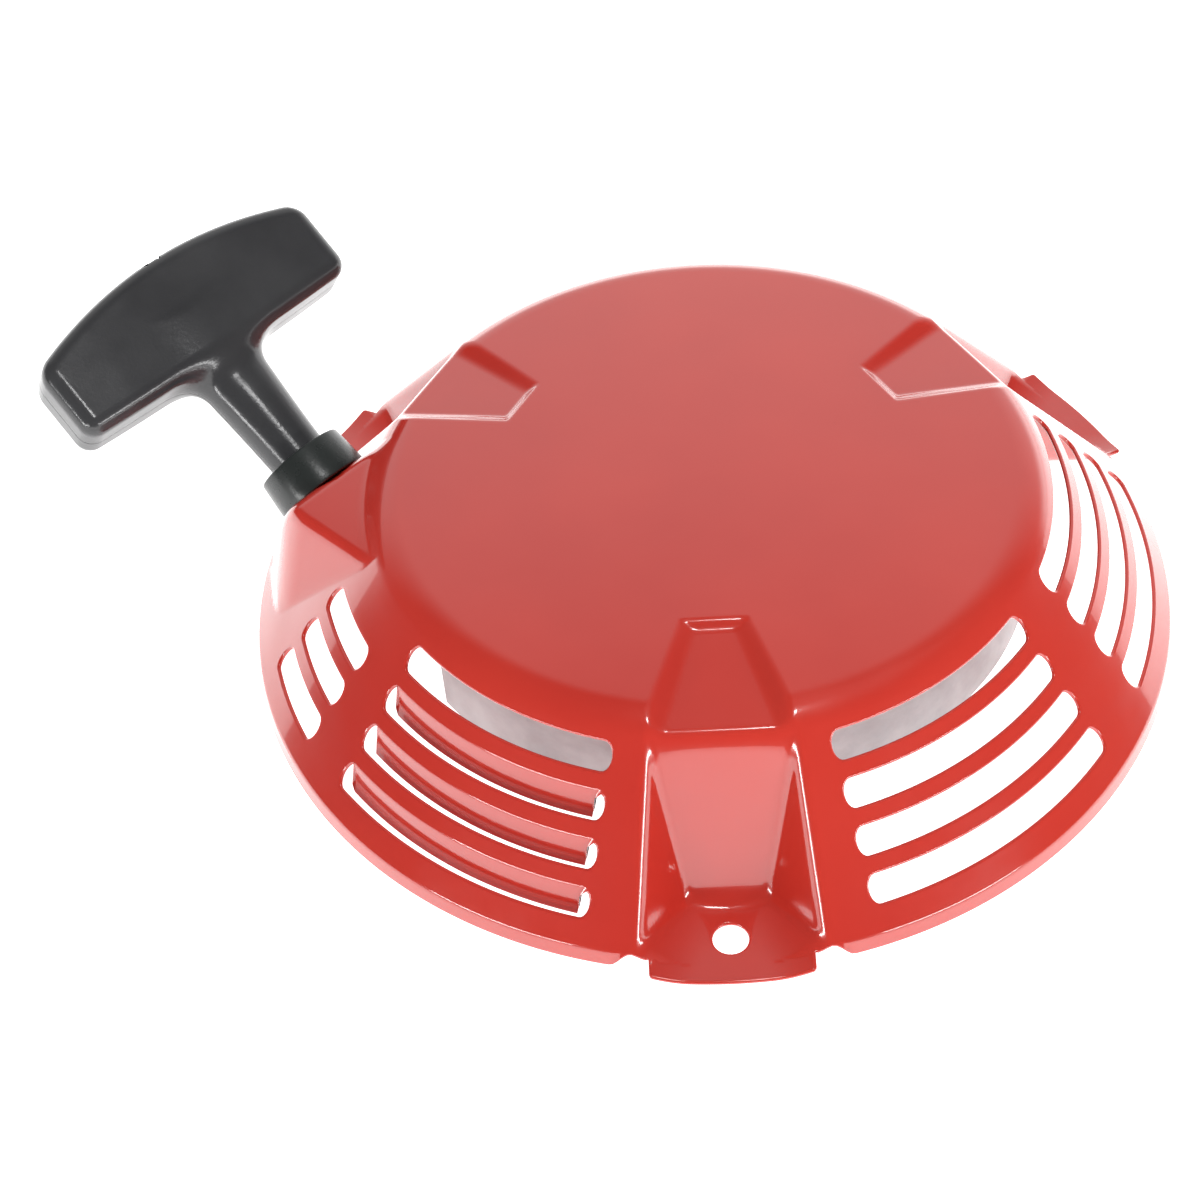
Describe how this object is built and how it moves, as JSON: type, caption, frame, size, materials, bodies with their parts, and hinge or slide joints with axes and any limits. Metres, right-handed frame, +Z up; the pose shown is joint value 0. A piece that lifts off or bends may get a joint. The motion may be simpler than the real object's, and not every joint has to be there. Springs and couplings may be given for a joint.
{
  "type": "recoil starter",
  "caption": "Pull-rope recoil starter: domed, slotted red steel cover on bolted tabs, T-handle on a tangential rope, inner reel with pawls.",
  "frame": {"origin": "on the reel's axis, in the mounting plane, at the centre of the centre screw's lower face", "axes": "+Z up through the cover along the reel's axis, -Y towards the front bolt tab, +X to the right; the rope leaves to the left, back and up"},
  "size_m": [0.235, 0.1978, 0.0633],
  "materials": {
    "red_paint": "high gloss red enamel over pressed steel",
    "zinc_plate": "satin zinc plating",
    "bright_steel": "turned bright steel",
    "hardened_steel": "dark hardened steel",
    "spring_steel": "blued spring steel",
    "bronze": "sintered bronze",
    "black_plastic": "semi-gloss moulded plastic",
    "guide_plastic": "satin moulded plastic",
    "reel_nylon": "glass-filled nylon",
    "rope": "braided nylon rope"
  },
  "bodies": {
    "housing_body": {"cover": "red_paint", "reel_housing": "zinc_plate", "centre_post": "bright_steel", "recoil_spring": "spring_steel", "rope_lead": "rope", "rope_guide": "guide_plastic", "rope_eyelet": "bright_steel", "friction_spring": "spring_steel", "thrust_washer": "zinc_plate", "centre_screw": "zinc_plate"},
    "reel_body": {"reel": "reel_nylon", "reel_bush": "bronze", "spring_cover": "bright_steel", "rope_coil": "rope", "rope_knot_reel": "rope", "pawl_pin_1": "bright_steel", "pawl_pin_2": "bright_steel", "pawl_spring_1": "spring_steel", "pawl_spring_2": "spring_steel"},
    "pawl_1_body": {"pawl_1": "hardened_steel"},
    "pawl_2_body": {"pawl_2": "hardened_steel"},
    "ratchet_guide_body": {"ratchet_guide": "zinc_plate"},
    "handle_body": {"handle_grip": "black_plastic", "handle_ferrule": "reel_nylon", "rope_knot_handle": "rope", "rope_run": "rope"}
  },
  "joints": [
    {"name": "handle_pull", "type": "slide", "parent": "housing_body", "child": "handle_body", "axis": [-0.593, 0.593, 0.5446], "range_m": [0, 0.9], "stiffness_N_per_m": 12, "springref_m": -0.6},
    {"name": "reel_spin", "type": "hinge", "parent": "housing_body", "child": "reel_body", "pos_m": [0, 0, 0.022], "axis": [0, 0, -1], "range_deg": [0, 880]},
    {"name": "ratchet_guide_lag", "type": "hinge", "parent": "reel_body", "child": "ratchet_guide_body", "pos_m": [0, 0, 0.00975], "axis": [0, 0, 1], "range_deg": [0, 24]},
    {"name": "pawl_1_swing", "type": "hinge", "parent": "reel_body", "child": "pawl_1_body", "pos_m": [0.02537, 0.00924, 0.0124], "axis": [0, 0, -1], "range_deg": [0, 30]},
    {"name": "pawl_2_swing", "type": "hinge", "parent": "reel_body", "child": "pawl_2_body", "pos_m": [-0.02537, -0.00924, 0.0124], "axis": [0, 0, -1], "range_deg": [0, 30]}
  ],
  "couplings": [
    {"joint": "reel_spin", "follows": "handle_pull", "rad_per_m": 16.9},
    {"joint": "pawl_1_swing", "follows": "ratchet_guide_lag", "ratio": 1.25},
    {"joint": "pawl_2_swing", "follows": "ratchet_guide_lag", "ratio": 1.25}
  ]
}
